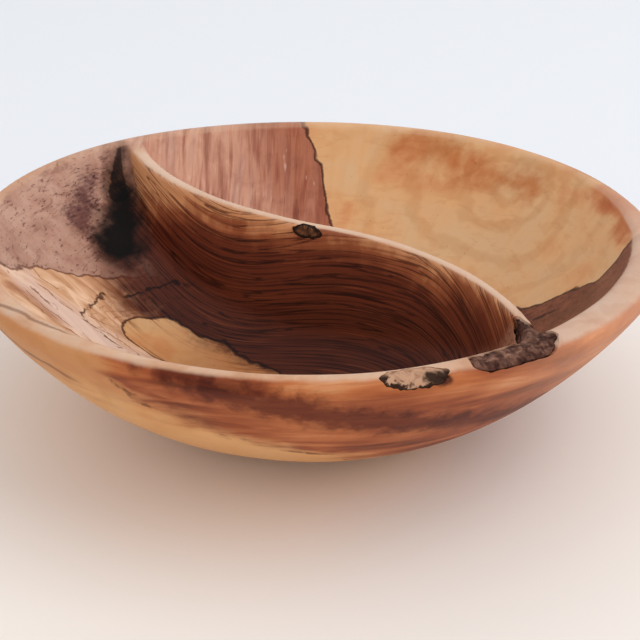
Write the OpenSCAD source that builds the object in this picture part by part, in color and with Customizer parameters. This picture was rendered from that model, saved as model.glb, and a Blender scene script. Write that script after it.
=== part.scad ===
// Divided bowl, carved from one block of olive wood.
// A thin S-shaped wall stands across the round hollow and makes two pockets.
// Frame: origin at the middle of the flat foot, +Z up, +X to the right and -Y towards the user.

/* [Bowl] */
// Outer diameter at the rim
outer_d = 220; // [190:5:250]
// Height from the foot to the top of the rim
height = 62; // [54:1:70]
// Width of the rim's top face
rim_w = 8; // [6:0.5:11]
// Radius of the rim's crown, which slopes away outwards
crown_r = 14; // [12:1:40]
// Distance from the rim's inner lip to its highest line
crown_in = 0.8; // [0.5:0.1:4]
// Diameter of the flat foot
foot_d = 76; // [60:2:90]
// Thickness of the floor at its middle
floor_t = 9; // [7:0.5:12]

/* [Divider] */
// Thickness of the dividing wall's ridge at its middle
ridge_w = 4.2; // [3.6:0.1:6]
// Distance of the ridge below the rim's highest line
ridge_drop = 0.4; // [0.3:0.1:3]
// Rounding of the ridge's two edges
ridge_round = 1.6; // [0.8:0.1:1.7]
// Direction of the ridge where it passes the middle of the bowl, in degrees
heading = -24; // [-40:1:-10]
// Radius of the concave root that joins the wall to the floor
root_r = 26; // [16:1:30]
// Lean of the wall's faces above the root, in degrees
face_lean = 6; // [3:0.5:9]
// Bend of the front face's left half, in rim radii
front_left_bend = 1.18; // [1.15:0.01:1.3]
// Bend of the front face's right half, in rim radii
front_right_bend = 0.83; // [0.8:0.01:0.84]
// Bend of the back face's left half, in rim radii
back_left_bend = 1.1; // [1.07:0.01:1.12]
// Bend of the back face's right half, in rim radii
back_right_bend = 0.86; // [0.85:0.01:0.9]

/* [Inclusions] */
// Depth of the bark that crosses the rim at the wall's front end
bark_depth = 6; // [5:0.5:10]
// Length of the knot in the rim
rim_knot_l = 15; // [10:0.5:18]
// Width of the knot in the rim
rim_knot_w = 6.5; // [4:0.5:8]
// Depth of the knot in the rim
rim_knot_depth = 5; // [4:0.5:8]
// Radius of the knot in the divider's front face
wall_knot_r = 2.8; // [2:0.1:3]

/* [Hidden] */
$fn = 240;
// Straight steps in the wall's concave root and in its rounded ridge
root_steps = 8;
ridge_steps = 4;
// Room that cutting shapes reach past the wood
past = 5;
rim_r = outer_d / 2;
lip_r = rim_r - rim_w;
foot_r = foot_d / 2;

// Rim crown: one arc, highest just outside the inner lip
crown_x = lip_r + crown_in;
function crown_z(r) = height - crown_r + sqrt(pow(crown_r, 2) - pow(r - crown_x, 2));
edge_z = crown_z(rim_r);
lip_z = crown_z(lip_r);

// Outer face: a sphere through the rim's outer edge and the edge of the foot
outer_zc = (pow(rim_r, 2) - pow(foot_r, 2) + pow(edge_z, 2)) / (2 * edge_z);
outer_sphere_r = sqrt(pow(foot_r, 2) + pow(outer_zc, 2));

// Hollow: a sphere through the rim's inner lip and the middle of the floor
hollow_zc = (pow(lip_r, 2) + pow(lip_z, 2) - pow(floor_t, 2)) / (2 * (lip_z - floor_t));
hollow_r = hollow_zc - floor_t;

// Divider: its faces change from one bend to the other at wall_mid
wall_mid = [0.05 * rim_r, -0.06 * rim_r];
ridge_z = height - ridge_drop;
// The ridge is planed flat this far below the top of its two roundings
ridge_flat = 0.25;
round_zc = ridge_z + ridge_flat - ridge_round;
// The root's lowest points lie this far under the middle of the floor
root_dip = 1.5;
root_z = floor_t - root_dip;
root_zc = root_z + root_r;
root_top_x = (round_zc - root_zc + root_r * sin(face_lean)) * tan(face_lean);
root_xc = root_top_x + root_r * cos(face_lean);
// Cutting shapes that start at the wall end this far away, beyond the other side of the bowl
reach = 2.2 * rim_r;

// Points of a round stretch, from angle a to angle b
function arc(x, z, r, a, b, steps) =
    [for (i = [0:steps]) let (t = a + (b - a) * i / steps) [x + r * cos(t), z + r * sin(t)]];

// One face of the dividing wall from its ridge to the floor, with x leading away from the wall
wall_face = concat(
    [[-ridge_round, height + past]],
    arc(-ridge_round, round_zc, ridge_round, 90, 0, ridge_steps),
    arc(root_xc, root_zc, root_r, 180 + face_lean, 270, root_steps)
);

// Bark: corners as [distance outside the rim's edge, angle on the rim]
bark_corners = [[-20, -52], [1, -52.5], [1, -64], [-5, -68], [-8.5, -61]];

// Knots: angle on the rim and turn away from the rim's direction, then the place on the wall's front face
rim_knot_angle = -75;
rim_knot_turn = -12;
wall_knot_x = -0.05 * rim_r;
wall_knot_out = 0.5;
wall_knot_z = ridge_z - 1.2 * wall_knot_r;

module above_rim() {
    difference() {
        translate([lip_r - past, height - past]) square([rim_w + 4 * past, reach]);
        translate([crown_x, height - crown_r]) circle(r = crown_r);
    }
}

module block_profile() {
    difference() {
        intersection() {
            translate([0, outer_zc]) circle(r = outer_sphere_r);
            square([2 * rim_r, reach]);
        }
        above_rim();
    }
}

// The sphere's poles lie level with its centre, clear of the wood
module hollow() {
    translate([0, 0, hollow_zc]) rotate([90, 0, 0]) sphere(r = hollow_r);
}

module below(z) {
    translate([-rim_r, -rim_r, 0]) cube([outer_d, outer_d, z]);
}

// Space of a pocket on the near side of the wall: it bends round out_r on the left of the
// middle, and lies inside in_r on the right of it
module pocket_space(out_r, in_r) {
    far_side = [[reach, root_z], [reach, height + past]];
    translate([0, out_r - ridge_w / 2, 0]) rotate([0, 0, 180]) rotate_extrude(angle = 90)
        polygon(concat([for (p = wall_face) [out_r + p.x, p.y]], [for (p = far_side) [p.x, p.y]]));
    translate([0, -in_r - ridge_w / 2, 0]) rotate([0, 0, -90]) rotate_extrude(angle = 180)
        polygon(concat([for (p = wall_face) [in_r - p.x, p.y]], [[0, root_z], [0, height + past]]));
}

module on_wall() {
    translate(wall_mid) rotate([0, 0, heading]) children();
}

module front_space() {
    on_wall() pocket_space(front_left_bend * rim_r, front_right_bend * rim_r);
}

module back_space() {
    on_wall() rotate([0, 0, 180]) pocket_space(back_right_bend * rim_r, back_left_bend * rim_r);
}

module bark_space() {
    corners = [for (c = bark_corners) (rim_r + c[0]) * [cos(c[1]), sin(c[1])]];
    translate([0, 0, height - bark_depth]) linear_extrude(bark_depth + past) polygon(corners);
}

// A lens in plan: two round cuts that meet at the knot's ends
module rim_knot_space() {
    lens_r = (pow(rim_knot_l, 2) + pow(rim_knot_w, 2)) / (4 * rim_knot_w);
    offset_y = lens_r - rim_knot_w / 2;
    rotate([0, 0, rim_knot_angle + 90]) translate([0, -rim_r + rim_knot_w / 2, height - rim_knot_depth])
        rotate([0, 0, rim_knot_turn]) intersection() {
            translate([0, offset_y, 0]) cylinder(r = lens_r, h = rim_knot_depth + past);
            translate([0, -offset_y, 0]) cylinder(r = lens_r, h = rim_knot_depth + past);
        }
}

module wall_knot_space() {
    on_wall() translate([wall_knot_x, -ridge_w / 2 - wall_knot_out, wall_knot_z])
        sphere(r = wall_knot_r);
}

module shell_body() {
    difference() {
        rotate_extrude() block_profile();
        hollow();
    }
}

module wall_body() {
    difference() {
        intersection() {
            hollow();
            below(ridge_z);
        }
        front_space();
        back_space();
    }
}

module bowl_shell() {
    color("peru") difference() {
        shell_body();
        bark_space();
        rim_knot_space();
    }
}

module divider() {
    color("sienna") difference() {
        wall_body();
        bark_space();
        wall_knot_space();
    }
}

module bark_inclusion() {
    color("dimgray") difference() {
        intersection() {
            bark_space();
            rotate_extrude() block_profile();
            below(height);
        }
        intersection() {
            hollow();
            union() {
                front_space();
                back_space();
            }
        }
    }
}

module rim_knot() {
    color("darkslategray") intersection() {
        shell_body();
        rim_knot_space();
    }
}

module divider_knot() {
    color("saddlebrown") intersection() {
        wall_body();
        wall_knot_space();
    }
}

bowl_shell();
divider();
bark_inclusion();
rim_knot();
divider_knot();
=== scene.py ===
from math import cos, pi, radians, sin, tan

import bpy
import numpy as np
from mathutils import Matrix, Vector


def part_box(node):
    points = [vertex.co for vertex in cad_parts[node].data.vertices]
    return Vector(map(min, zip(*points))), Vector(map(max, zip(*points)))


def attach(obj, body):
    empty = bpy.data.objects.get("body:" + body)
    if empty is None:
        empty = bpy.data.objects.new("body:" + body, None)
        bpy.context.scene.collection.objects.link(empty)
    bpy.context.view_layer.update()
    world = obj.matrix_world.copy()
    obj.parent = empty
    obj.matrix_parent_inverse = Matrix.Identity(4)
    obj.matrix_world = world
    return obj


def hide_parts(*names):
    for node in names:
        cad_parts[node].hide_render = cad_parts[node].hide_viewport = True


# Divided olive-wood bowl. Shapes are worked out in millimetres, in the frame's own axes: the origin is at
# the middle of the foot, +Z is up and -Y is towards the user. MM turns them into Blender's metres.
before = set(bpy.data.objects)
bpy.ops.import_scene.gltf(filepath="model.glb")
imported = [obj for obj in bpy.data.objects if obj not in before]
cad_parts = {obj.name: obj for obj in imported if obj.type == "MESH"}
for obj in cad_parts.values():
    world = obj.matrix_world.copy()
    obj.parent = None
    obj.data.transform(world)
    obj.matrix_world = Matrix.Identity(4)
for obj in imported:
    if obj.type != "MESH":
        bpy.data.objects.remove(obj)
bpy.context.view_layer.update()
MM = 0.001

# ---- Sizes in millimetres unless a comment says otherwise, from the frame and the CAD proportions ----
SHELL_LOW, SHELL_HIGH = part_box("bowl_shell")
RIM_R = (SHELL_HIGH.y - SHELL_LOW.y) / 2 / MM
HEIGHT = SHELL_HIGH.z / MM
FOOT_R = 38.0
FLOOR_T = 9.0
# The rim's mean width, its crowned top's radius, and how far out from the lip the crown starts to fall.
RIM_W = 8.0
CROWN_R = 14.0
CROWN_IN = 0.8
# How much the rim's width swells and shrinks three times and twice round the bowl.
SWELL_THREE = 2.1
SWELL_TWO = 0.7
# As shares: how far the drying wood let the left side sink, how flat the left side and how full the right
# side is, and how far round each of those spreads.
TILT = 0.014
LEFT_FLAT = 0.028
RIGHT_FULL = 0.012
LEFT_SPREAD = 0.18
RIGHT_SPREAD = 0.08
# The dividing wall: its middle in rim radii, its heading there, its ridge's width and its faces' lean.
WALL_MID = (0.05, -0.06)
HEADING = radians(-24)
RIDGE_W = 4.2
FACE_LEAN = tan(radians(6))
# Radii of each face's bends, left and right of the middle, in rim radii.
FRONT_BENDS = (1.18, 0.83)
BACK_BENDS = (0.86, 1.1)
# Roundings: the wall's root low down and near the rim, the depths between which it grows, the edges, and
# the rim's outer edge.
ROOT_R = 26.0
CORNER_R = 3.0
ROOT_DEPTHS = (2, 45)
EDGE_R = 1.5
RIM_ROUND = 4.5
# Height and length of the tool marks on the outside, in the hollow and on the wall.
OUTER_MARKS = (0.25, 17.0)
HOLLOW_MARKS = (0.3, 13.0)
WALL_MARKS = (0.2, 9.0)

# ---- Mesh quality ----
# Grid cells of the bowl and of each inclusion, in millimetres, and the spare room round their grids.
CELL = 1.32
BARK_CELL = 0.5
RIM_KNOT_CELL = 0.4
WALL_KNOT_CELL = 0.3
BOWL_ROOM = 3
INCLUSION_ROOM = 6
# Steps that move vertices onto the surface and even them out, and rounds that join diagonal corners, which
# then lie just inside the wood.
SETTLE_STEPS = 3
RELAX_STEPS = 3
JOIN_ROUNDS = 4
JUST_INSIDE = 0.001
# Edges sharper than this are shaded as edges.
SHARP_ANGLE = radians(50)
# The corners of a grid cell.
CORNERS = [(i, j, k) for i in (0, 1) for j in (0, 1) for k in (0, 1)]


# ======================================= shape of the carved block =======================================

def smoothstep(low, high, value):
    t = np.clip((value - low) / (high - low), 0, 1)
    return t * t * (3 - 2 * t)


def round_max(a, b, radius):
    """Two solids' common part, with the edge between them rounded."""
    u, v = np.maximum(a + radius, 0), np.maximum(b + radius, 0)
    return np.minimum(np.maximum(a, b), -radius) + np.hypot(u, v)


def sphere_height(r, z, at_r, at_z):
    """Height of the middle of a sphere on the axis that passes through (r, z) and (at_r, at_z)."""
    return (r * r + z * z - at_r * at_r - at_z * at_z) / (2 * (z - at_z))


def rim_width(angle):
    """Width of the rim's top, which the carver left uneven."""
    return RIM_W - SWELL_THREE * np.sin(3 * angle) - SWELL_TWO * np.sin(2 * angle)


def waves(x, y, z, size):
    """Slow, uneven waves of about this length, within about one unit either way."""
    a = np.sin(x / size + 1.3 * np.sin(y / size * 0.7 + 0.5)) * np.cos(y / size * 1.1 + z / size)
    b = np.sin((x + y) / size * 1.7 + 2.1 * np.cos(z / size)) * np.sin((y - x) / size * 1.3 + 4.0)
    return 0.6 * a + 0.4 * b


def tool_marks(x, y, z, marks):
    """Shallow waves that a gouge and sandpaper leave, for marks given as (height, length)."""
    height, length = marks
    return height * waves(x, y, z, length)


def wall_distances(x, y):
    """Distances at the ridge from the wall's front face into the front pocket and from its back face into
    the back one. Each face bends one way left of the wall's middle and the other way right of it."""
    px, py = x - WALL_MID[0] * RIM_R, y - WALL_MID[1] * RIM_R
    u = px * cos(HEADING) + py * sin(HEADING)
    v = py * cos(HEADING) - px * sin(HEADING)

    def from_face(u, v, bends):
        outside, inside = bends[0] * RIM_R, bends[1] * RIM_R
        left = np.hypot(u, v - outside + RIDGE_W / 2) - outside
        right = inside - np.hypot(u, v + inside + RIDGE_W / 2)
        return np.where(u < 0, left, right)

    return from_face(u, v, FRONT_BENDS), from_face(-u, -v, BACK_BENDS)


def settled_height(x, z):
    """Height before the wood moved as it dried, which left the rim a little lower on the left."""
    leftwards = (x - np.hypot(x, 20)) / 2
    return z - TILT * leftwards * (np.maximum(z, 0) / HEIGHT) ** 2


def outer_face(r, angle, z):
    """Distance outside the outer sphere, through the rim's edge and the edge of the foot. The bowl's left
    side is a little flat and its right side a little full."""
    edge_z = HEIGHT - CROWN_R + np.sqrt(CROWN_R**2 - (RIM_W - CROWN_IN) ** 2)
    middle = sphere_height(RIM_R, edge_z, FOOT_R, 0.0)
    left = np.exp((-np.cos(angle) - 1) / LEFT_SPREAD)
    right = np.exp((np.cos(angle) - 1) / RIGHT_SPREAD)
    round_r = r * (1 + LEFT_FLAT * left - RIGHT_FULL * right)
    return np.hypot(round_r, z - middle) - np.hypot(FOOT_R, middle)


def hollow_face(r, angle, z):
    """Distance outside the hollow's sphere, stretched a little to the rim's uneven lip."""
    middle = sphere_height(RIM_R - RIM_W, HEIGHT, 0.0, FLOOR_T)
    stretched = r * (RIM_R - RIM_W) / (RIM_R - rim_width(angle))
    return np.hypot(stretched, z - middle) - (middle - FLOOR_T)


def carved_block(x, y, z):
    """Distance outside the wood: the bowl's outside, less its two pockets. Negative inside the wood."""
    r, angle = np.hypot(x, y), np.arctan2(y, x)
    z = settled_height(x, z)
    depth = HEIGHT - z
    past_crown = np.maximum(r - (RIM_R - rim_width(angle)) - CROWN_IN, 0)
    crown_z = HEIGHT - CROWN_R + np.sqrt(np.maximum(CROWN_R**2 - past_crown**2, 1.0))
    outside = outer_face(r, angle, z) + tool_marks(x, y, z, OUTER_MARKS)
    block = round_max(outside, z - crown_z, RIM_ROUND)
    block = round_max(block, -z, EDGE_R)

    hollow = hollow_face(r, angle, z) + tool_marks(x, y, z, HOLLOW_MARKS)
    lean = FACE_LEAN * np.maximum(depth - EDGE_R, 0) + tool_marks(x + 40, y, z, WALL_MARKS)
    root = CORNER_R + (ROOT_R - CORNER_R) * smoothstep(*ROOT_DEPTHS, depth)
    front, back = wall_distances(x, y)
    pockets = np.minimum(round_max(hollow, lean - front, root), round_max(hollow, lean - back, root))
    return round_max(block, -pockets, EDGE_R)


# ======================================= meshes =======================================

def gradient(field, p):
    step = 0.05
    g = np.empty_like(p)
    for k in range(3):
        q = p.copy()
        q[:, k] += step
        high = field(*q.T)
        q[:, k] -= 2 * step
        g[:, k] = (high - field(*q.T)) / (2 * step)
    return g


def settle(field, p, steps):
    """Moves points onto the field's zero surface."""
    for _ in range(steps):
        g = gradient(field, p)
        move = field(*p.T) / np.maximum((g * g).sum(1), 0.05)
        p = p - g * np.clip(move, -1.0, 1.0)[:, None]
    return p


def join_diagonals(values):
    """Fills in grid corners where solid ones meet only across a diagonal, so no mesh touches itself."""
    for _ in range(JOIN_ROUNDS):
        for axis in range(3):
            square = {}
            for i, j in ((0, 0), (0, 1), (1, 0), (1, 1)):
                part = [slice(None)] * 3
                part[(axis + 1) % 3] = slice(i, i - 1 or None)
                part[(axis + 2) % 3] = slice(j, j - 1 or None)
                square[i, j] = values[tuple(part)]
            solid = {key: part < 0 for key, part in square.items()}
            rising = solid[0, 0] & solid[1, 1] & ~solid[0, 1] & ~solid[1, 0]
            falling = solid[0, 1] & solid[1, 0] & ~solid[0, 0] & ~solid[1, 1]
            square[0, 1][rising] = -JUST_INSIDE
            square[0, 0][falling] = -JUST_INSIDE


def cell_corner(array, corner):
    """The array's values at one corner of every grid cell."""
    return array[tuple(slice(o, o + n - 1) for o, n in zip(corner, array.shape))]


def net_points(values, active):
    """For each active cell, the mean of the points where its edges cross the surface, counted in cells."""
    at = {c: cell_corner(values, c)[active] for c in CORNERS}
    total, crossings = np.zeros((active.sum(), 3)), np.zeros(active.sum())
    for c in CORNERS:
        for axis in range(3):
            if c[axis]:
                continue
            d = tuple(1 if k == axis else c[k] for k in range(3))
            a, b = at[c], at[d]
            crossed = (a < 0) != (b < 0)
            t = np.where(crossed, a / np.where(crossed, a - b, 1), 0)
            for k in range(3):
                total[:, k] += np.where(crossed, t if k == axis else c[k], 0)
            crossings += crossed
    return np.argwhere(active) + total / crossings[:, None]


def net_quads(inside, number):
    """A quad, facing outwards, between the four cells round each grid edge that leaves the solid."""
    quads = []
    for axis in range(3):
        u, v = (axis + 1) % 3, (axis + 2) % 3
        first = [slice(1, -1)] * 3
        first[axis] = slice(0, -1)
        second = list(first)
        second[axis] = slice(1, None)
        a, b = inside[tuple(first)], inside[tuple(second)]
        for leaves in (True, False):
            cells = np.argwhere((a != b) & (a == leaves))
            cells[:, u] += 1
            cells[:, v] += 1
            ring = []
            for du, dv in ((-1, -1), (0, -1), (0, 0), (-1, 0)):
                c = cells.copy()
                c[:, u] += du
                c[:, v] += dv
                ring.append(number[tuple(c.T)])
            quads.append(np.stack(ring if leaves else ring[::-1], axis=1))
    return np.concatenate(quads)


def surface_net(field, low, high, cell):
    """Vertices and quads of the field's zero surface: one vertex in each grid cell that it crosses."""
    axes = [np.arange(a, b + cell, cell) for a, b in zip(low, high)]
    values = field(*np.meshgrid(*axes, indexing="ij"))
    join_diagonals(values)
    inside = values < 0
    count = sum(cell_corner(inside, c).astype(np.int8) for c in CORNERS)
    active = (count > 0) & (count < len(CORNERS))
    number = np.full(count.shape, -1, np.int64)
    number[active] = np.arange(active.sum())
    points = np.array(low) + net_points(values, active) * cell
    return points, net_quads(inside, number)


def relax(field, points, quads, steps):
    """Evens out the vertices along the surface."""
    edges = np.concatenate([quads[:, [i, (i + 1) % 4]] for i in range(4)])
    for _ in range(steps):
        total, count = np.zeros_like(points), np.zeros(len(points))
        for a, b in ((0, 1), (1, 0)):
            np.add.at(total, edges[:, a], points[edges[:, b]])
            np.add.at(count, edges[:, a], 1)
        points = settle(field, 0.5 * points + 0.5 * total / count[:, None], 2)
    return points


def mesh_object(name, points, faces):
    mesh = bpy.data.meshes.new(name)
    mesh.from_pydata((points * MM).tolist(), [], faces.tolist())
    mesh.validate()
    mesh.update()
    obj = bpy.data.objects.new(name, mesh)
    bpy.context.scene.collection.objects.link(obj)
    return obj


def carve(name):
    reach = RIM_R + BOWL_ROOM
    low, high = (-reach, -reach, -BOWL_ROOM), (reach, reach, HEIGHT + BOWL_ROOM)
    points, quads = surface_net(carved_block, low, high, CELL)
    points = relax(carved_block, settle(carved_block, points, SETTLE_STEPS), quads, RELAX_STEPS)
    return mesh_object(name, points, quads)


# ======================================= inclusions =======================================

def outline_distance(x, y, corners):
    """Distance outside a closed outline in plan, whose corners are (x, y) in order."""
    nearest, inside = np.full(x.shape, np.inf), np.zeros(x.shape, bool)
    for (ax, ay), (bx, by) in zip(corners, corners[1:] + corners[:1]):
        ex, ey = bx - ax, by - ay
        t = np.clip(((x - ax) * ex + (y - ay) * ey) / (ex * ex + ey * ey), 0, 1)
        nearest = np.minimum(nearest, np.hypot(x - ax - t * ex, y - ay - t * ey))
        crosses = (ay > y) != (by > y)
        inside ^= crosses & (x < ax + ex * (y - ay) / (ey if ey else 1e-9))
    return np.where(inside, -nearest, nearest)


def box_middle(node):
    """Middle of the CAD node's box, in millimetres."""
    low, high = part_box(node)
    return [(a + b) / 2 / MM for a, b in zip(low, high)]


def box_round(node):
    """The CAD node's box in millimetres, with some spare room."""
    low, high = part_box(node)
    return [c / MM - INCLUSION_ROOM for c in low], [c / MM + INCLUSION_ROOM for c in high]


def on_rim(node, *corners):
    """Plan positions of points given as (degrees round the rim from the node, share of rim radius)."""
    x, y, _ = box_middle(node)
    turns = [(np.arctan2(y, x) + radians(a), share * RIM_R) for a, share in corners]
    return [(r * cos(turn), r * sin(turn)) for turn, r in turns]


# The bark's outline and depth, how far its lump reaches over the rim, the rounding at its bottom, and its
# taper: how much for each millimetre down, the radii between which it sets in, and the depth it starts at.
BARK_OUTLINE = on_rim(
    "bark_inclusion", (7.6, 0.80), (7.6, 0.882), (8.2, 0.918), (7.8, 0.945), (6.6, 0.982), (6.2, 1.014),
    (-6.8, 1.014), (-8.4, 0.973), (-8.1, 0.932), (-3.8, 0.924), (-0.8, 0.916), (1.7, 0.905), (3.6, 0.882),
    (6.0, 0.836),
)
BARK_DEPTH = 6.0
BARK_OVER = 2
BARK_ROUND = 1.0
BARK_TAPER = 1.5
BARK_TAPER_FROM = (101, 106)
BARK_EDGE = 0.8
# Each knot's middle, its turn in plan where the wall's heading doesn't set it, half its length, width and
# height, and the depth of the crack along its edge. SEAM_GAP is the gap round a piece.
RIM_KNOT_AT = (*box_middle("rim_knot")[:2], HEIGHT - 1.5)
RIM_KNOT_TURN = radians(15)
RIM_KNOT_HALF = (9.4, 2.8, 3.2)
RIM_KNOT_CRACK = 0.05
WALL_KNOT_AT = (*box_middle("divider_knot")[:2], HEIGHT - 2.2)
WALL_KNOT_HALF = (5.2, 2.2, 2.3)
WALL_KNOT_CRACK = 0.15
SEAM_GAP = 0.03


def bark_lump(x, y, z):
    """Distance outside the solid that the bark fills, which narrows downwards on the bowl's outside."""
    ragged = 0.5 * waves(x, y, z, 1.9) + 0.2 * waves(x, y, z, 1.0)
    below_edge = np.maximum(HEIGHT - BARK_EDGE - z, 0)
    slope = BARK_TAPER * below_edge * smoothstep(*BARK_TAPER_FROM, np.hypot(x, y))
    sides = outline_distance(x, y, BARK_OUTLINE) + ragged + slope
    return np.maximum(round_max(sides, HEIGHT - BARK_DEPTH - z, BARK_ROUND), z - HEIGHT - BARK_OVER)


def eye_lump(x, y, z, middle, turn, half):
    """Distance outside an eye-shaped knot with a ragged outline."""
    u = (x - middle[0]) * cos(turn) + (y - middle[1]) * sin(turn)
    v = (y - middle[1]) * cos(turn) - (x - middle[0]) * sin(turn)
    w = z - middle[2]
    size = np.sqrt((u / half[0]) ** 2 + (v / half[1]) ** 2 + (w / half[2]) ** 2)
    return (size - 1) * half[1] + 0.3 * waves(x, y, z, 0.9)


def rim_knot_lump(x, y, z):
    return eye_lump(x, y, z, RIM_KNOT_AT, RIM_KNOT_TURN, RIM_KNOT_HALF)


def wall_knot_lump(x, y, z):
    return eye_lump(x, y, z, WALL_KNOT_AT, HEADING, WALL_KNOT_HALF)


def net_object(name, field, low, high, cell):
    points, quads = surface_net(field, low, high, cell)
    return mesh_object(name, settle(field, points, SETTLE_STEPS), quads)


def inclusion(name, lump, node, cell, sunk):
    """A piece that fills the lump's part of the wood round the CAD node, with a rough top, and the solid to
    cut for it."""
    def piece(x, y, z):
        return np.maximum(carved_block(x, y, z) + sunk(x, y, z), lump(x, y, z) + SEAM_GAP)

    low, high = box_round(node)
    cutter = net_object(name + "_cutter", lump, low, high, cell)
    return net_object(name, piece, low, high, cell), cutter


def bark_relief(x, y, z):
    """How far the bark's top lies below the wood: ridges, pits and a crack along its edge."""
    ridges = 0.35 + 0.3 * waves(x, y, z, 1.9) + 0.2 * waves(y, x, z, 0.9)
    crack = 0.35 * np.exp(-((bark_lump(x, y, z) + 0.2) / 0.6) ** 2)
    return np.maximum(ridges, 0.05) + crack


def knot_relief(lump, crack_depth):
    """The same for a knot: almost flush with the wood, with a crack of this depth along its edge."""
    def relief(x, y, z):
        return 0.04 + crack_depth * np.exp(-((lump(x, y, z) + 0.1) / 0.45) ** 2)

    return relief


def cut(obj, cutters):
    """Cuts the solids out of the object's mesh, and removes them."""
    for cutter in cutters:
        step = obj.modifiers.new("cut", "BOOLEAN")
        step.operation = "DIFFERENCE"
        step.solver = "EXACT"
        step.object = cutter
    bpy.context.view_layer.update()
    evaluated = obj.evaluated_get(bpy.context.evaluated_depsgraph_get())
    mesh = bpy.data.meshes.new_from_object(evaluated)
    obj.modifiers.clear()
    old, obj.data = obj.data, mesh
    bpy.data.meshes.remove(old)
    for cutter in cutters:
        spare = cutter.data
        bpy.data.objects.remove(cutter)
        bpy.data.meshes.remove(spare)


# ======================================= the wood's figure =======================================

# Marks in the wood, in millimetres. Each is a rounded rod: its start and end, and its radius at each of
# them. A radius below 0 brings the rod to a point short of that end.
GOLD_PATCH = ((-50, -2, 0), (-14, -24, 0), 11.0, 8.0)
# Dark mark in the front pocket's back-left corner: partly staining in the wood, partly painted shadow in
# that corner.
CORNER_STAIN_AND_SHADOW = ((-69.5, 74, 61), (-66, 38, 36), -0.5, 8.0)
SMUDGE = ((-77.5, 59, 55), (-79, 37, 44), 1.3, 3.2)
RIM_BLOT = ((32, -104, 62), (36, -103.5, 60), 2.4, 2.4)
BLUSHES = (
    ((40, 92, 60), (52, 84, 54), 6, 6),
    ((62, 72, 53), (80, 58, 53), 2, 4),
    ((102, 34, 60), (106, -2, 60), 3, 7),
)
# Dark lines. The second runs down the front pocket's back-left corner and is painted shadow in that crease.
GASHES_AND_CREASE_SHADOW = (
    ((72, -10, 33), (78, -14, 38), 0.7, 0.9),
    ((-70.5, 74, 61), (-69, 58, 48), 0.6, 3.4),
)
# A point on the level axis of the sapwood's rings, and the axis's heading.
RING_MIDDLE = (70, 63, 50)
RING_HEADING = radians(42)
# The dark line along the rim's left front: its radius, and its middle in degrees round the rim.
RIM_LINE_R = 105.3
RIM_LINE_ANGLE = -141


def along_wall(x, y):
    """Distance along the wall's heading from its middle, towards its right-hand end."""
    return (x - WALL_MID[0] * RIM_R) * cos(HEADING) + (y - WALL_MID[1] * RIM_R) * sin(HEADING)


def capsule(x, y, z, start, end, start_r, end_r):
    """Distance inside a rounded rod that goes from start to end and changes its radius on the way."""
    p = np.stack([x, y, z], axis=-1) - np.array(start)
    axis = np.array(end) - np.array(start)
    t = np.clip(p @ axis / (axis @ axis), 0, 1)
    return start_r + (end_r - start_r) * t - np.linalg.norm(p - t[..., None] * axis, axis=-1)


def capsules(x, y, z, rods):
    return np.maximum.reduce([capsule(x, y, z, *rod) for rod in rods])


def region_fields(x, y, z):
    """Fields that the wood's colours follow. A region's field is 0 on its edge and grows inwards, and nodes
    roughen that edge. They are in millimetres, except crest, a share, and rim_line_end, in degrees."""
    r, angle = np.hypot(x, y), np.arctan2(y, x)
    z = settled_height(x, z)
    depth = HEIGHT - z
    rise = -hollow_face(r, angle, z)
    # The sapwood lies right of a leaning plane and behind a slanting one.
    back_left = -(x + 2 - 0.27 * depth)
    near_right = (75 + 1.6 * np.maximum(x - 90, 0) - x - y) / 1.41
    across_rings = (y - RING_MIDDLE[1]) * cos(RING_HEADING) - (x - RING_MIDDLE[0]) * sin(RING_HEADING)
    from_rim_line = np.degrees(angle) - RIM_LINE_ANGLE
    return {
        "depth": depth,
        "front": wall_distances(x, y)[0],
        "along": along_wall(x, y),
        "skin": -outer_face(r, angle, z),
        "rise": rise,
        "sapwood": -round_max(back_left, near_right, 14.0),
        "low_floor": 43 - 0.55 * y - z,
        "patch": capsule(x, y, z * 0, *GOLD_PATCH),
        "stain_and_shade": capsule(x, y, z, *CORNER_STAIN_AND_SHADOW),
        "smudge": capsule(x, y, z, *SMUDGE),
        "blush": capsules(x, y, z, BLUSHES),
        "gash_and_crease_shadow": capsules(x, y, z, GASHES_AND_CREASE_SHADOW),
        "blot": capsule(x, y, z, *RIM_BLOT),
        "crest": np.where(rise > 8, 1, 0.35 + 0.65 * smoothstep(45, -25, y)),
        "pale_base": 46 - z - np.maximum(0.25 * (x + 36), 0.5 * (x + 36)) + 0.9 * np.maximum(-x - 43, 0),
        "cloud": 5.5 - np.abs(z - 57 + 0.30 * (x + 18)) - 0.15 * np.maximum(-x - 22, 0),
        "rings": np.hypot(across_rings / 1.8, z - RING_MIDDLE[2]),
        "loops": np.hypot((x + 72) / 2.6, y + 20 + 0.25 * (x + 72)),
        "rim_line": r - RIM_LINE_R + 0.2 * np.maximum(from_rim_line, 0),
        "rim_line_end": 17 - np.abs(from_rim_line),
    }


def grain_vectors(x, y, z):
    """Places to read noise at: round the bowl and down its sides, and along the dividing wall's lines,
    which sag in the middle of each half of the wall."""
    angle = np.arctan2(y, x)
    depth = HEIGHT - settled_height(x, z)
    front = wall_distances(x, y)[0]
    along = along_wall(x, y)
    dip = 13 * np.exp(-((along + 38) / 34) ** 2) + 0.016 * np.maximum(along - 30, 0) ** 2
    return {
        "spokes": np.stack([RIM_R * np.cos(angle), RIM_R * np.sin(angle), depth], axis=-1),
        "flow": np.stack([depth - dip + 0.9 * np.maximum(front, 0), along, front], axis=-1),
    }


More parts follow.
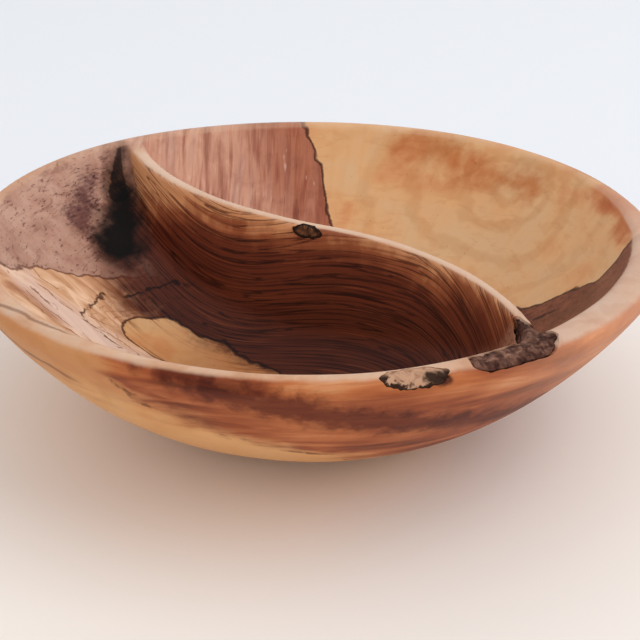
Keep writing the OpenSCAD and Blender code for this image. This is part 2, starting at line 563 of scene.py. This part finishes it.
def figure_attributes(obj, lump):
    """Stores the figure's fields on the mesh, along with how far each point faces up and, in an inclusion,
    how far it is inside its lump."""
    mesh = obj.data
    points = np.empty(len(mesh.vertices) * 3)
    mesh.vertices.foreach_get("co", points)
    points = points.reshape(-1, 3) / MM
    values = region_fields(*points.T)
    values["up"] = gradient(carved_block, points)[:, 2]
    if lump:
        values["core"] = -lump(*points.T)
    for name, value in values.items():
        layer = mesh.attributes.new(name, "FLOAT", "POINT")
        layer.data.foreach_set("value", value.astype(np.float32))
    for name, value in grain_vectors(*points.T).items():
        layer = mesh.attributes.new(name, "FLOAT_VECTOR", "POINT")
        layer.data.foreach_set("vector", value.astype(np.float32).ravel())


# ======================================= materials =======================================

class Recipe:
    """Builds one material. Its methods take sockets or plain numbers and give back a socket."""

    def __init__(self, name):
        self.material = bpy.data.materials.new(name)
        self.material.use_nodes = True
        self.tree = self.material.node_tree
        self.shader = self.tree.nodes["Principled BSDF"]

    def connect(self, value, socket):
        if isinstance(value, bpy.types.NodeSocket):
            self.tree.links.new(value, socket)
        else:
            socket.default_value = value

    def node(self, kind, inputs, **settings):
        node = self.tree.nodes.new(kind)
        for key, value in settings.items():
            setattr(node, key, value)
        for key, value in inputs.items():
            self.connect(value, node.inputs[key])
        return node

    def math(self, operation, a, b=0.0):
        return self.node("ShaderNodeMath", {0: a, 1: b}, operation=operation).outputs[0]

    def add(self, *terms):
        total = terms[0]
        for term in terms[1:]:
            total = self.math("ADD", total, term)
        return total

    def times(self, *terms):
        total = terms[0]
        for term in terms[1:]:
            total = self.math("MULTIPLY", total, term)
        return total

    def step(self, value, low, high):
        """0 at low and 1 at high, smoothly in between. Low may be the greater of the two."""
        inputs = {"Value": value, "From Min": low, "From Max": high}
        return self.node("ShaderNodeMapRange", inputs, interpolation_type="SMOOTHSTEP").outputs[0]

    def band(self, value, middle, half):
        """1 where value is near middle, falling to 0 at half on either side."""
        return self.step(self.math("ABSOLUTE", self.math("SUBTRACT", value, middle)), half, half * 0.25)

    def value(self, name):
        return self.node("ShaderNodeAttribute", {}, attribute_name=name).outputs["Fac"]

    def vector(self, name):
        return self.node("ShaderNodeAttribute", {}, attribute_name=name).outputs["Vector"]

    def place(self):
        """Position in millimetres."""
        where = self.node("ShaderNodeTexCoord", {}).outputs["Object"]
        return self.node("ShaderNodeVectorMath", {0: where, "Scale": 1 / MM}, operation="SCALE").outputs[0]

    def noise(self, vector, sizes, detail=3.0, roughness=0.55, distortion=0.0):
        """Noise from 0 to 1 with lumps of these sizes, in millimetres, along the vector's three parts."""
        scaled = self.node("ShaderNodeVectorMath", {0: vector, 1: sizes}, operation="DIVIDE").outputs[0]
        inputs = {"Vector": scaled, "Scale": 1.0, "Detail": detail, "Roughness": roughness,
                  "Distortion": distortion}
        return self.node("ShaderNodeTexNoise", inputs).outputs["Fac"]

    def swing(self, noise, amount):
        """The noise as a move of up to about this amount either way."""
        return self.times(self.math("SUBTRACT", noise, 0.5), 2.5 * amount)

    def mix(self, factor, a, b, blend="MIX"):
        node = self.node("ShaderNodeMix", {0: factor, 6: a, 7: b}, data_type="RGBA", blend_type=blend)
        return node.outputs[2]

    def shade(self, colour, factor, tone):
        """Multiplies the colour by a tone where factor is 1."""
        return self.mix(factor, colour, tone, "MULTIPLY")

    def ramp(self, value, *stops):
        """A colour ramp, with stops given as (place, colour)."""
        node = self.node("ShaderNodeValToRGB", {0: value})
        elements = node.color_ramp.elements
        while len(elements) < len(stops):
            elements.new(0.5)
        for element, (at, colour) in zip(elements, stops):
            element.position = at
            element.color = colour
        return node.outputs["Color"]

    def bump(self, height, distance, strength):
        inputs = {"Height": height, "Distance": distance * MM, "Strength": strength}
        self.connect(self.node("ShaderNodeBump", inputs).outputs[0], self.shader.inputs["Normal"])


def rgb(red, green, blue):
    return (red, green, blue, 1.0)


class WoodRecipe(Recipe):
    """The carved wood's material, with the fields and noises that its regions share."""

    def __init__(self, name):
        super().__init__(name)
        self.at, self.spokes, self.flow = self.place(), self.vector("spokes"), self.vector("flow")
        self.depth, self.front, self.along = self.value("depth"), self.value("front"), self.value("along")
        self.skin, self.rise, self.up = self.value("skin"), self.value("rise"), self.value("up")
        self.sapwood, self.rings = self.value("sapwood"), self.value("rings")

        self.wander = self.noise(self.at, (16, 16, 16), 2)
        self.ragged = self.noise(self.at, (5, 5, 5), 5, 0.6)
        self.cloudy = self.noise(self.at, (30, 30, 22), 3, 0.5, 0.6)
        self.mottle = self.noise(self.at, (9, 9, 12), 4, 0.6)
        self.speck = self.noise(self.at, (1.1, 1.1, 1.6), 2, 0.6)
        self.fleck = self.noise(self.at, (1.7, 3.6, 0.8), 3, 0.65)
        self.spoke_fine = self.noise(self.spokes, (2.0, 2.0, 16), 3, 0.55, 0.5)
        self.spoke_broad = self.noise(self.spokes, (5, 5, 45), 4, 0.6, 0.5)
        self.board_fine = self.noise(self.at, (34, 34, 1.2), 4, 0.6, 0.3)
        self.board_broad = self.noise(self.at, (40, 40, 6), 4, 0.55, 0.7)
        self.wall_fine = self.noise(self.flow, (0.9, 36, 14), 3, 0.6, 0.3)
        self.wall_line = self.noise(self.flow, (3.2, 60, 20), 3, 0.5, 0.4)

        self.in_front = self.step(self.front, 0, 3)
        self.in_front_only = self.step(self.front, 2, 5)

    def roughened(self, field, wander=0.0, ragged=0.0, mottle=0.0):
        """The field with its edge moved by noises, each by up to about its own amount in millimetres."""
        moves = ((self.mottle, mottle), (self.wander, wander), (self.ragged, ragged))
        return self.add(field, *[self.swing(noise, amount) for noise, amount in moves if amount])

    def most(self, a, b):
        return self.math("MAXIMUM", a, b)


def back_heartwood(w):
    """Pinkish brown with soft upright streaks, and redder towards the sapwood."""
    upright_fine = w.noise(w.at, (2.2, 42, 26), 3, 0.6, 0.5)
    upright_broad = w.noise(w.at, (6, 90, 50), 4, 0.6, 0.7)
    colour = w.ramp(upright_broad, (0.32, rgb(0.30, 0.115, 0.07)), (0.42, rgb(0.50, 0.23, 0.15)),
                    (0.52, rgb(0.64, 0.34, 0.23)), (0.6, rgb(0.56, 0.30, 0.215)),
                    (0.7, rgb(0.68, 0.41, 0.31)))
    colour = w.shade(colour, w.times(w.step(upright_fine, 0.54, 0.34), 0.6), rgb(0.60, 0.44, 0.41))
    colour = w.shade(colour, w.times(w.step(w.mottle, 0.5, 0.36), 0.35), rgb(0.66, 0.52, 0.48))
    near_sapwood = w.step(w.roughened(w.sapwood, wander=8), -46, -6)
    colour = w.shade(colour, near_sapwood, rgb(0.66, 0.43, 0.34))
    pale_strips = w.step(w.noise(w.at, (2.2, 12, 6), 1), 0.70, 0.8)
    return w.mix(w.times(pale_strips, 0.5), colour, rgb(0.74, 0.46, 0.36))


def speckled_heartwood(w):
    """The front pocket's outer wall: pale, with dark purple flecks, and smoky round the corner's staining
    and painted shadow.
    """
    streaky = w.noise(w.at, (5, 14, 2.4), 4, 0.65, 0.6)
    colour = w.ramp(w.mottle, (0.3, rgb(0.36, 0.18, 0.125)), (0.45, rgb(0.46, 0.245, 0.175)),
                    (0.62, rgb(0.54, 0.32, 0.235)))
    colour = w.shade(colour, w.times(w.step(w.fleck, 0.57, 0.68), 0.85), rgb(0.34, 0.22, 0.24))
    colour = w.shade(colour, w.times(w.step(streaky, 0.54, 0.66), 0.5), rgb(0.5, 0.36, 0.36))
    halo = w.add(w.roughened(w.value("stain_and_shade"), mottle=10, wander=6), w.swing(w.fleck, 4))
    colour = w.shade(colour, w.times(w.step(halo, -7, 1), 0.75), rgb(0.34, 0.19, 0.17))
    smudge = w.add(w.roughened(w.value("smudge"), mottle=8, wander=5), w.swing(w.fleck, 5))
    return w.shade(colour, w.times(w.step(smudge, -6, 3), 0.92), rgb(0.26, 0.15, 0.18))


def sapwood(w):
    """Smooth and golden, with orange-brown clouds and faint rings."""
    colour = w.ramp(w.cloudy, (0.32, rgb(0.68, 0.42, 0.22)), (0.5, rgb(0.71, 0.39, 0.18)),
                    (0.62, rgb(0.66, 0.30, 0.125)), (0.72, rgb(0.54, 0.21, 0.08)))
    ring_wave = w.math("SINE", w.times(w.roughened(w.rings, wander=4), 0.75))
    ring = w.times(w.step(ring_wave, 0.0, 1.0), w.step(w.rings, 48, 16), 0.5)
    colour = w.shade(colour, ring, rgb(0.84, 0.72, 0.6))
    blush = w.add(w.roughened(w.value("blush"), mottle=9), w.swing(w.cloudy, 10))
    colour = w.shade(colour, w.times(w.step(blush, -8, 6), 0.95), rgb(0.74, 0.46, 0.30))
    colour = w.shade(colour, w.times(w.step(w.spoke_broad, 0.52, 0.38), 0.10), rgb(0.86, 0.68, 0.55))
    smears = w.step(w.noise(w.at, (12, 12, 3), 4, 0.65, 0.8), 0.5, 0.36)
    colour = w.shade(colour, w.times(smears, 0.3), rgb(0.84, 0.68, 0.54))
    return w.shade(colour, w.step(w.speck, 0.29, 0.22), rgb(0.5, 0.36, 0.25))


def tan_heartwood(w):
    """The front pocket's left end: tan over pale pink, with nested dark loops and streaks down it."""
    streak = w.noise(w.flow, (3.6, 30, 26), 4, 0.6, 0.9)
    loops = w.value("loops")
    colour = w.ramp(streak, (0.32, rgb(0.44, 0.18, 0.085)), (0.46, rgb(0.66, 0.35, 0.19)),
                    (0.6, rgb(0.90, 0.58, 0.38)))
    pink = w.times(w.step(w.roughened(loops, mottle=8), 15, 2), 0.75)
    colour = w.mix(pink, colour, rgb(0.80, 0.58, 0.49))
    near_wall = w.times(w.step(w.roughened(w.front, mottle=14), 38, 20), 0.85)
    colour = w.shade(colour, near_wall, rgb(0.52, 0.36, 0.3))
    loop_wave = w.math("SINE", w.times(w.roughened(loops, wander=7, ragged=2), 0.95))
    loop_line = w.times(w.step(loop_wave, 0.9, 0.98), w.step(loops, 19, 12), w.step(w.mottle, 0.4, 0.5))
    return w.shade(colour, w.times(loop_line, 0.85), rgb(0.28, 0.15, 0.12))


def wall_heartwood(w):
    """The dividing wall: tan under the ridge, then deep brown with long flowing lines."""
    fall = w.add(w.roughened(w.depth, mottle=5), w.swing(w.wall_line, 6),
                 w.times(w.step(w.along, -45, -85), -9), w.times(w.band(w.along, 12, 26), 4),
                 w.times(w.step(w.along, 30, 62), 3))
    colour = w.ramp(w.times(fall, 0.02), (0.02, rgb(0.64, 0.30, 0.135)), (0.12, rgb(0.30, 0.088, 0.034)),
                    (0.26, rgb(0.125, 0.025, 0.010)), (0.8, rgb(0.075, 0.015, 0.006)))
    lined = w.add(0.3, w.times(w.step(w.depth, 2, 14), 0.5))
    colour = w.shade(colour, w.times(w.step(w.wall_fine, 0.52, 0.36), lined), rgb(0.34, 0.24, 0.24))
    colour = w.shade(colour, w.times(w.band(w.wall_line, 0.5, 0.03), 0.8), rgb(0.22, 0.15, 0.15))
    return w.mix(w.times(w.step(w.wall_fine, 0.58, 0.72), 0.35), colour, rgb(0.26, 0.072, 0.026))


def bark_side_heartwood(w):
    """The strip of brown wood in the back pocket next to the bark."""
    colour = w.ramp(w.mottle, (0.32, rgb(0.11, 0.029, 0.013)), (0.48, rgb(0.19, 0.054, 0.025)),
                    (0.66, rgb(0.25, 0.082, 0.040)))
    under_rim = w.times(w.step(w.depth, 14, 5), w.step(w.along, 86, 74), 0.5)
    colour = w.mix(under_rim, colour, rgb(0.56, 0.31, 0.21))
    pores = w.step(w.noise(w.at, (2.4, 1.2, 0.9), 3), 0.5, 0.6)
    return w.shade(colour, w.times(pores, 0.6), rgb(0.40, 0.30, 0.30))


def outer_wood(w, golden):
    """The outside: orange brown with dark clouds, and golden near the base."""
    tone = w.add(w.times(w.board_broad, 0.7), w.times(w.cloudy, 0.3))
    colour = w.ramp(tone, (0.34, rgb(0.14, 0.030, 0.010)), (0.45, rgb(0.31, 0.072, 0.022)),
                    (0.57, rgb(0.50, 0.157, 0.052)), (0.70, rgb(0.68, 0.33, 0.15)))
    colour = w.shade(colour, w.times(w.step(w.board_fine, 0.5, 0.32), 0.3), rgb(0.66, 0.5, 0.42))
    colour = w.mix(w.times(w.step(w.along, 68, 104), 0.45), colour, rgb(0.80, 0.42, 0.25))
    cloud = w.add(w.roughened(w.value("cloud"), ragged=6), w.swing(w.board_broad, 5))
    colour = w.shade(colour, w.times(w.step(cloud, -3, 4), 0.95), rgb(0.32, 0.17, 0.12))
    base = w.add(w.roughened(w.value("pale_base"), wander=5, ragged=3), w.swing(w.board_broad, 9))
    pale = w.mix(0.5, golden, rgb(0.78, 0.41, 0.155))
    high = w.step(w.add(w.depth, w.swing(w.board_broad, 12)), 30, 8)
    pale = w.shade(pale, w.times(high, 0.9), rgb(0.74, 0.60, 0.55))
    colour = w.mix(w.step(base, -8, 3), colour, pale)
    edge = w.times(w.band(base, 0, 2.6), w.step(w.mottle, 0.5, 0.62), 0.75)
    return w.shade(colour, edge, rgb(0.2, 0.1, 0.07))


def crest_wear_and_light(w):
    """Paler wood on top of the rim and along the wall's ridge: partly wear, partly painted light on the
    up-facing tops.
    """
    colour = w.ramp(w.noise(w.at, (11, 11, 11), 4, 0.6), (0.32, rgb(0.54, 0.28, 0.16)),
                    (0.5, rgb(0.62, 0.37, 0.235)), (0.7, rgb(0.62, 0.42, 0.30)))
    on_ridge = w.step(w.rise, 8, 14)
    # The ridge's top paler still: partly paler wood, partly painted light on it.
    colour = w.mix(w.times(on_ridge, 0.6), colour, rgb(0.74, 0.52, 0.38))
    colour = w.mix(w.times(w.step(w.front, 0, -20), on_ridge, 0.55), colour, rgb(0.80, 0.61, 0.53))
    right_rim = w.step(w.along, 58, 88)
    colour = w.mix(w.times(right_rim, 0.5), colour, rgb(0.64, 0.445, 0.35))
    ripple = w.math("SINE", w.times(w.roughened(w.rings, wander=5, ragged=2), 1.1))
    return w.shade(colour, w.times(w.step(ripple, 0.1, 0.9), right_rim, 0.3), rgb(0.84, 0.72, 0.66))


def gold_patch(w, golden, patch):
    """The golden patch on the front pocket's floor, browner to the right and streaked near its edge."""
    colour = w.shade(golden, w.step(w.along, -62, -20), rgb(0.66, 0.48, 0.36))
    streaks = w.times(w.step(w.wall_fine, 0.5, 0.36), w.step(patch, 9, 1), 0.7)
    return w.shade(colour, streaks, rgb(0.45, 0.3, 0.24))


def inside_wood(w, golden, stain_and_shadow_mask):
    """Puts the inside together, from the back pocket to the wall, and draws the dark lines on it."""
    heart = wall_heartwood(w)
    sap_edge = w.roughened(w.sapwood, wander=5, ragged=1.4)
    colour = w.mix(w.step(w.along, 20, 50), back_heartwood(w), bark_side_heartwood(w))
    colour = w.mix(w.step(sap_edge, -0.3, 0.3), colour, golden)

    low_edge = w.roughened(w.value("low_floor"), wander=4, ragged=1.2)
    front_floor = w.mix(w.step(low_edge, -0.4, 0.4), speckled_heartwood(w), tan_heartwood(w))
    front_floor = w.shade(front_floor, w.times(w.band(low_edge, 0, 0.7), 0.8), rgb(0.25, 0.15, 0.14))
    colour = w.mix(w.in_front, colour, front_floor)

    near_wall = w.step(w.roughened(w.front, wander=8, ragged=5), 30, 14)
    deep = w.step(w.roughened(w.depth, mottle=8), 18, 34)
    corner = w.times(w.step(w.roughened(w.front, ragged=3), 13, 5), w.step(w.depth, 3, 14))
    colour = w.mix(w.times(w.most(w.times(near_wall, deep), corner), w.in_front), colour, heart)

    patch = w.roughened(w.value("patch"), wander=4, ragged=1.3)
    patch_here = w.times(w.step(patch, -0.3, 0.3), w.in_front_only)
    colour = w.mix(patch_here, colour, gold_patch(w, golden, patch))
    on_wall = w.step(w.roughened(w.rise, ragged=3), 3, 9)
    colour = w.mix(w.times(on_wall, w.step(w.front, -2, 0)), colour, heart)
    # Near-black corner: partly staining, partly painted shadow where the wall meets the pocket's side.
    colour = w.mix(w.times(stain_and_shadow_mask, 0.99), colour, rgb(0.003, 0.002, 0.002))
    return dark_lines(w, colour, sap_edge, patch)


def dark_lines(w, colour, sap_edge, patch):
    """Dark lines round the sapwood and the golden patch, in the gashes, as painted shadow in the front
    pocket's corner crease, and in a fan left of the patch.
    """
    behind_wall = w.step(w.front, 2, -1)
    lines = w.most(w.times(w.band(sap_edge, 0, 1.0), behind_wall),
                   w.times(w.band(patch, 0, 0.8), w.in_front_only))
    # Gashes, and painted shadow down the front pocket's corner crease.
    lines = w.most(lines, w.step(w.roughened(w.value("gash_and_crease_shadow"), ragged=1), -0.4, 0.3))
    patch_left = w.times(w.step(w.along, -46, -56), w.in_front_only)
    around_patch = w.roughened(patch, mottle=3)
    outer_loop = w.times(w.band(around_patch, -10.5, 0.9), patch_left)
    fan_wave = w.math("SINE", w.times(around_patch, 2.3))
    fan = w.times(w.step(fan_wave, 0.7, 1), w.step(patch, -10, -8), w.step(patch, -0.5, -2), patch_left)
    colour = w.shade(colour, w.times(fan, w.step(w.ragged, 0.38, 0.55), 0.45), rgb(0.36, 0.2, 0.15))
    lines = w.most(lines, w.times(outer_loop, w.step(w.ragged, 0.4, 0.5)))
    return w.shade(colour, w.times(lines, 0.9), rgb(0.12, 0.07, 0.06))


def olive_wood():
    w = WoodRecipe("olive_wood")
    golden = sapwood(w)
    # Mask of the corner's staining and painted shadow, which also roughens that corner.
    stain_and_shadow_mask = w.step(w.roughened(w.value("stain_and_shade"), wander=3, ragged=4), -6, 3)
    colour = w.mix(w.step(w.skin, 2.5, 5.5), outer_wood(w, golden), inside_wood(w, golden, stain_and_shadow_mask))
    # Paler where the rim and the ridge face up: partly wear, partly painted light falling on those tops.
    worn_and_lit_top = w.times(w.step(w.add(w.up, w.swing(w.mottle, 0.12)), 0.6, 0.95), w.step(w.depth, 5.5, 1.5))
    colour = w.mix(w.times(worn_and_lit_top, w.value("crest"), 0.9), colour, crest_wear_and_light(w))
    rim_line = w.band(w.roughened(w.value("rim_line"), wander=2), 0, 0.9)
    rim_line = w.times(rim_line, w.step(w.value("rim_line_end"), 0, 4))
    colour = w.shade(colour, w.times(rim_line, 0.7), rgb(0.34, 0.24, 0.18))
    blot = w.step(w.roughened(w.value("blot"), ragged=1.5), -0.6, 0.8)
    colour = w.shade(colour, w.times(blot, 0.9), rgb(0.12, 0.07, 0.07))

    w.connect(colour, w.shader.inputs["Base Color"])
    roughness = w.add(0.36, w.times(w.mottle, 0.16), w.times(w.speck, 0.08), w.times(stain_and_shadow_mask, 0.25))
    w.connect(roughness, w.shader.inputs["Roughness"])
    w.shader.inputs["Specular IOR Level"].default_value = 0.15
    pores = w.add(w.times(w.board_fine, 0.5), w.times(w.spoke_fine, 0.3), w.times(w.speck, 0.5))
    w.bump(pores, 0.12, 0.5)
    return w.material


def bark():
    m = Recipe("bark")
    place, core = m.place(), m.value("core")
    grain = m.noise(place, (2.6, 2.6, 2.0), 5, 0.65, 0.6)
    patches = m.noise(place, (5, 5, 5), 3, 0.5, 0.5)
    colour = m.ramp(grain, (0.3, rgb(0.03, 0.013, 0.010)), (0.46, rgb(0.10, 0.044, 0.030)),
                    (0.60, rgb(0.21, 0.10, 0.068)), (0.78, rgb(0.42, 0.25, 0.185)))
    colour = m.shade(colour, m.times(m.step(patches, 0.56, 0.42), 0.85), rgb(0.34, 0.27, 0.29))
    rim = m.step(m.add(core, m.swing(grain, 1.2)), 1.2, 0.2)
    colour = m.shade(colour, m.times(rim, 0.6), rgb(0.25, 0.18, 0.17))
    m.connect(colour, m.shader.inputs["Base Color"])
    m.connect(m.add(0.5, m.times(grain, 0.3)), m.shader.inputs["Roughness"])
    m.shader.inputs["Specular IOR Level"].default_value = 0.05
    m.bump(m.add(grain, m.times(m.noise(place, (0.8, 0.8, 0.8), 3), 0.4)), 0.5, 0.8)
    return m.material


def rim_knot():
    """A knot of the rim's own pale wood inside a dark ring, which shows only on its outer side."""
    m = Recipe("rim_knot_wood")
    place, core = m.place(), m.value("core")
    grain = m.noise(place, (2.4, 2.4, 2.4), 4, 0.6, 0.5)
    colour = m.ramp(grain, (0.3, rgb(0.26, 0.115, 0.062)), (0.52, rgb(0.50, 0.285, 0.18)))
    ring = m.step(m.add(core, m.swing(grain, 1.6)), 1.0, 0.4)
    ring = m.times(ring, m.step(m.value("skin"), 5.0, 3.0))
    blot = m.step(m.add(m.value("blot"), m.swing(grain, 1.5)), -0.6, 0.8)
    colour = m.shade(colour, m.times(m.math("MAXIMUM", ring, blot), 0.96), rgb(0.04, 0.028, 0.028))
    m.connect(colour, m.shader.inputs["Base Color"])
    m.connect(m.add(0.42, m.times(grain, 0.2)), m.shader.inputs["Roughness"])
    m.shader.inputs["Specular IOR Level"].default_value = 0.05
    m.bump(grain, 0.3, 0.6)
    return m.material


def wall_knot():
    m = Recipe("wall_knot_wood")
    place, core = m.place(), m.value("core")
    grain = m.noise(place, (1.8, 1.8, 1.8), 4, 0.6, 0.5)
    inner = m.step(m.add(core, m.swing(grain, 0.8)), 0.4, 1.2)
    fine = m.ramp(grain, (0.35, rgb(0.05, 0.020, 0.010)), (0.62, rgb(0.22, 0.095, 0.045)))
    m.connect(m.mix(inner, rgb(0.022, 0.011, 0.008), fine), m.shader.inputs["Base Color"])
    m.connect(m.add(0.42, m.times(grain, 0.2)), m.shader.inputs["Roughness"])
    m.shader.inputs["Specular IOR Level"].default_value = 0.05
    m.bump(grain, 0.3, 0.6)
    return m.material


# ======================================= stage, light and camera =======================================

# The camera's place in rim radii from the middle of the rim, and how far it looks down and is rolled.
CAMERA_PLACE = (0.0387, -3.5684, 1.3784)
CAMERA_DOWN = radians(25.48)
CAMERA_ROLL = radians(1.1)
# Half the floor's width, and its height just below the foot, in metres.
FLOOR_HALF = 6.0
FLOOR_Z = -0.0002


def camera():
    data = bpy.data.cameras.new("camera")
    data.lens = 50
    data.sensor_width = 24
    data.clip_end = 20
    obj = bpy.data.objects.new("camera", data)
    turn = Matrix.Rotation(pi / 2 - CAMERA_DOWN, 4, "X") @ Matrix.Rotation(CAMERA_ROLL, 4, "Z")
    right, away, up = CAMERA_PLACE
    place = Vector((right * RIM_R, away * RIM_R, HEIGHT + up * RIM_R)) * MM
    obj.matrix_world = Matrix.Translation(place) @ turn
    bpy.context.scene.collection.objects.link(obj)
    bpy.context.scene.camera = obj


def floor_finish():
    """Pale and warm under the bowl, and white behind it."""
    m = Recipe("floor")
    y = m.node("ShaderNodeSeparateXYZ", {0: m.place()}).outputs["Y"]
    colour = m.mix(m.step(y, 20, 190), rgb(0.89, 0.83, 0.775), rgb(0.80, 0.81, 0.845))
    m.connect(colour, m.shader.inputs["Base Color"])
    m.shader.inputs["Roughness"].default_value = 0.7
    m.shader.inputs["Specular IOR Level"].default_value = 0.2
    return m.material


def floor():
    half, z = FLOOR_HALF, FLOOR_Z
    corners = [(-half, -half, z), (half, -half, z), (half, half, z), (-half, half, z)]
    mesh = bpy.data.meshes.new("floor")
    mesh.from_pydata(corners, [], [(0, 1, 2, 3)])
    mesh.materials.append(floor_finish())
    obj = bpy.data.objects.new("floor", mesh)
    bpy.context.scene.collection.objects.link(obj)


def area_light(name, place, size, power, colour):
    """A square lamp aimed at the bowl. Its place and size are in metres and its power is in watts."""
    data = bpy.data.lights.new(name, "AREA")
    data.size = size
    data.energy = power
    data.color = colour
    obj = bpy.data.objects.new(name, data)
    obj.location = place
    aim = Vector((0, 0, 0.03)) - Vector(place)
    obj.rotation_euler = aim.to_track_quat("-Z", "Y").to_euler()
    bpy.context.scene.collection.objects.link(obj)


def lights():
    """A pale sky all round and one big soft window on the right."""
    world = bpy.data.worlds.new("world")
    bpy.context.scene.world = world
    world.use_nodes = True
    sky = world.node_tree.nodes["Background"].inputs
    sky["Color"].default_value = (0.96, 0.98, 1.0, 1)
    sky["Strength"].default_value = 0.89
    area_light("window", (1.5, -0.5, 1.9), 1.8, 21, (1.0, 0.98, 0.95))


def plain_colours():
    """Shows colours as they are, with no film look."""
    bpy.context.scene.view_settings.view_transform = "Standard"


# ======================================= build =======================================

def dress(obj, material, lump=None):
    """Gives a piece its material and finish, and fixes it to the bowl."""
    obj.data.shade_smooth()
    obj.data.set_sharp_from_angle(angle=SHARP_ANGLE)
    figure_attributes(obj, lump)
    obj.data.materials.clear()
    obj.data.materials.append(material)
    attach(obj, "root")


plain_colours()
camera()
floor()
lights()

bowl = carve("carved_bowl")
bark_piece, bark_cut = inclusion("bark_patch", bark_lump, "bark_inclusion", BARK_CELL, bark_relief)
rim_relief = knot_relief(rim_knot_lump, RIM_KNOT_CRACK)
rim_eye, rim_cut = inclusion("rim_eye", rim_knot_lump, "rim_knot", RIM_KNOT_CELL, rim_relief)
wall_relief = knot_relief(wall_knot_lump, WALL_KNOT_CRACK)
wall_eye, wall_cut = inclusion("wall_eye", wall_knot_lump, "divider_knot", WALL_KNOT_CELL, wall_relief)
cut(bowl, [bark_cut, rim_cut, wall_cut])

dress(bowl, olive_wood())
dress(bark_piece, bark(), bark_lump)
dress(rim_eye, rim_knot(), rim_knot_lump)
dress(wall_eye, wall_knot(), wall_knot_lump)
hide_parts("bowl_shell", "divider")
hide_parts("bark_inclusion")
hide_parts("rim_knot")
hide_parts("divider_knot")
